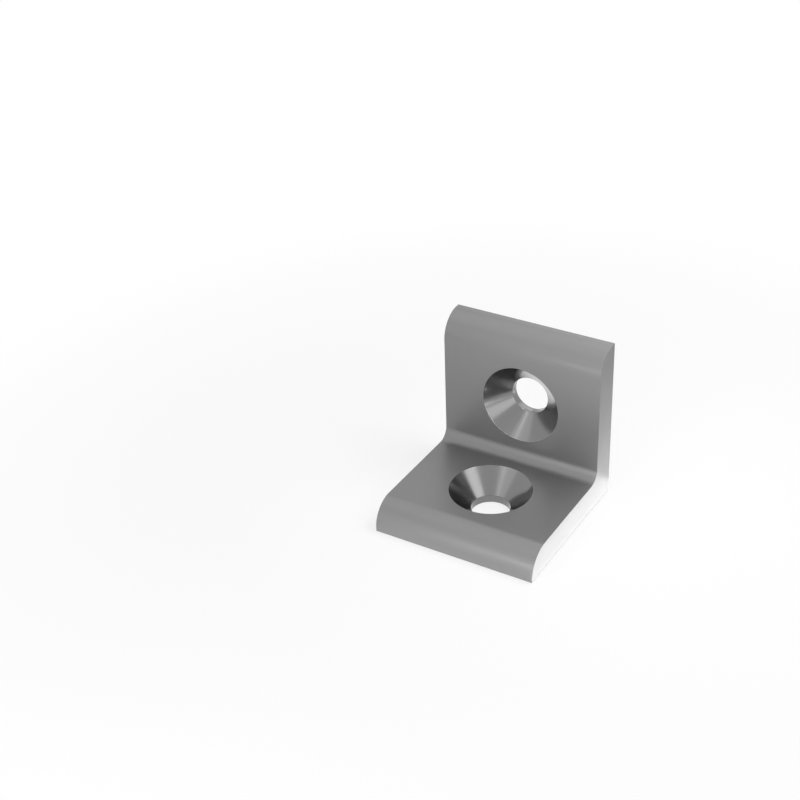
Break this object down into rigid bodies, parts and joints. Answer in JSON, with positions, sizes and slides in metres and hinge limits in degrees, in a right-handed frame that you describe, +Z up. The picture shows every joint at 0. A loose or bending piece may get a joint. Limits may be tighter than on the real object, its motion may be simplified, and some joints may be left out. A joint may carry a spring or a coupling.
{
  "type": "angle bracket",
  "caption": "Square angle bracket in grey-coated steel, with a filleted inner corner, legs that roll down to a thin edge, and a countersunk screw hole in each leg.",
  "frame": {"origin": "centre of the underside's outer square, under the middle of the bracket's box", "axes": "+Z up along the upright leg, +Y towards the upright leg's back face, -Y along the base leg to its front edge, X across the width"},
  "size_m": [0.02, 0.02, 0.02],
  "materials": {
    "grey_coated_steel": "smooth satin coat in neutral grey on steel, with bare bright metal in the bores and countersinks"
  },
  "bodies": {
    "root": {"angle_bracket": "grey_coated_steel"}
  },
  "joints": []
}
